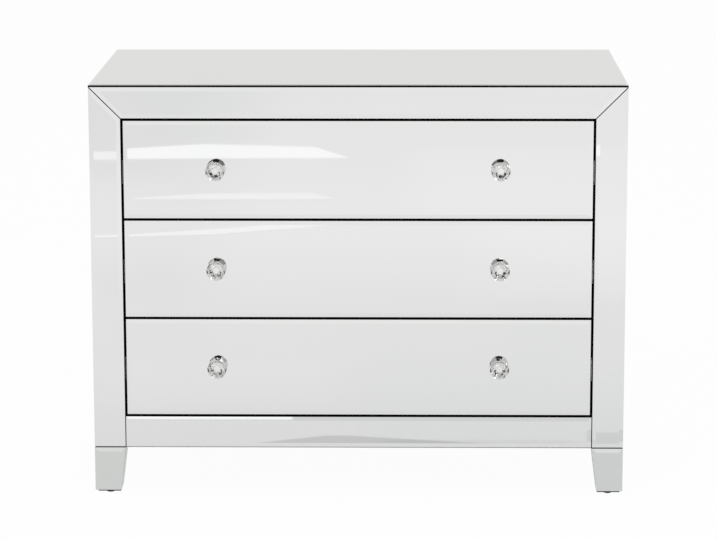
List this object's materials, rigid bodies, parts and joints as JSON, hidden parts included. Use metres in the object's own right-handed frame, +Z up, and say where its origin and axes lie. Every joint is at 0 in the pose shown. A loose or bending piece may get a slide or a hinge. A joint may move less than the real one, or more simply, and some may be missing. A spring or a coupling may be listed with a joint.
{
  "type": "chest of drawers",
  "caption": "Low chest of drawers clad in bevelled mirror glass, on tapered feet, with cut-crystal knobs. The drawers run on telescopic slides.",
  "frame": {"origin": "on the floor, under the middle of the whole chest with its knobs", "axes": "+Z up; the drawers open towards -Y; +X to the right of someone facing the front"},
  "size_m": [1, 0.59, 0.784],
  "materials": {
    "mirror_glass": "silvered float glass with a polished flat bevel",
    "black_board": "fibreboard, matt black paint",
    "silver_board": "fibreboard, silver paint",
    "drawer_board": "pale plywood, clear satin lacquer",
    "crystal": "clear cut crystal, polished facets, silvered behind the girdle",
    "chrome": "polished chrome",
    "slide_steel": "bright zinc plate on rolled steel",
    "black_plastic": "moulded polyethylene"
  },
  "bodies": {
    "carcass": {"apron_core": "black_board", "apron_mirror": "mirror_glass", "back_left_leg": "silver_board", "back_leg_mirrors": "mirror_glass", "back_panel": "black_board", "back_right_leg": "silver_board", "bottom_board": "black_board", "cabinet_slide_members": "slide_steel", "front_left_leg": "silver_board", "front_leg_mirrors": "mirror_glass", "front_right_leg": "silver_board", "left_side_board": "black_board", "left_side_mirror": "mirror_glass", "left_stile_mirror": "mirror_glass", "left_stile_post": "black_board", "leg_glides": "black_plastic", "lower_divider_rail": "black_board", "right_side_board": "black_board", "right_side_mirror": "mirror_glass", "right_stile_mirror": "mirror_glass", "right_stile_post": "black_board", "slide_battens": "black_board", "top_board": "black_board", "top_mirror": "mirror_glass", "top_rail_core": "black_board", "top_rail_mirror": "mirror_glass", "upper_divider_rail": "black_board"},
    "top_drawer": {"top_drawer_front_board": "black_board", "top_drawer_mirror": "mirror_glass", "top_drawer_left_side": "drawer_board", "top_drawer_right_side": "drawer_board", "top_drawer_back": "drawer_board", "top_drawer_bottom": "drawer_board", "top_drawer_slide_members": "slide_steel", "top_crystal_knobs": "crystal", "top_knob_ferrules": "chrome", "top_knob_screws": "slide_steel"},
    "top_runner": {"top_slide_runners": "slide_steel"},
    "middle_drawer": {"middle_drawer_front_board": "black_board", "middle_drawer_mirror": "mirror_glass", "middle_drawer_left_side": "drawer_board", "middle_drawer_right_side": "drawer_board", "middle_drawer_back": "drawer_board", "middle_drawer_bottom": "drawer_board", "middle_drawer_slide_members": "slide_steel", "middle_crystal_knobs": "crystal", "middle_knob_ferrules": "chrome", "middle_knob_screws": "slide_steel"},
    "middle_runner": {"middle_slide_runners": "slide_steel"},
    "bottom_drawer": {"bottom_drawer_front_board": "black_board", "bottom_drawer_mirror": "mirror_glass", "bottom_drawer_left_side": "drawer_board", "bottom_drawer_right_side": "drawer_board", "bottom_drawer_back": "drawer_board", "bottom_drawer_bottom": "drawer_board", "bottom_drawer_slide_members": "slide_steel", "bottom_crystal_knobs": "crystal", "bottom_knob_ferrules": "chrome", "bottom_knob_screws": "slide_steel"},
    "bottom_runner": {"bottom_slide_runners": "slide_steel"}
  },
  "joints": [
    {"name": "top_drawer_slide", "type": "slide", "parent": "carcass", "child": "top_drawer", "axis": [0, -1, 0], "range_m": [0, 0.45]},
    {"name": "top_runner_slide", "type": "slide", "parent": "carcass", "child": "top_runner", "axis": [0, -1, 0], "range_m": [0, 0.225]},
    {"name": "middle_drawer_slide", "type": "slide", "parent": "carcass", "child": "middle_drawer", "axis": [0, -1, 0], "range_m": [0, 0.45]},
    {"name": "middle_runner_slide", "type": "slide", "parent": "carcass", "child": "middle_runner", "axis": [0, -1, 0], "range_m": [0, 0.225]},
    {"name": "bottom_drawer_slide", "type": "slide", "parent": "carcass", "child": "bottom_drawer", "axis": [0, -1, 0], "range_m": [0, 0.45]},
    {"name": "bottom_runner_slide", "type": "slide", "parent": "carcass", "child": "bottom_runner", "axis": [0, -1, 0], "range_m": [0, 0.225]}
  ],
  "couplings": [
    {"joint": "top_runner_slide", "follows": "top_drawer_slide", "ratio": 0.5},
    {"joint": "middle_runner_slide", "follows": "middle_drawer_slide", "ratio": 0.5},
    {"joint": "bottom_runner_slide", "follows": "bottom_drawer_slide", "ratio": 0.5}
  ]
}
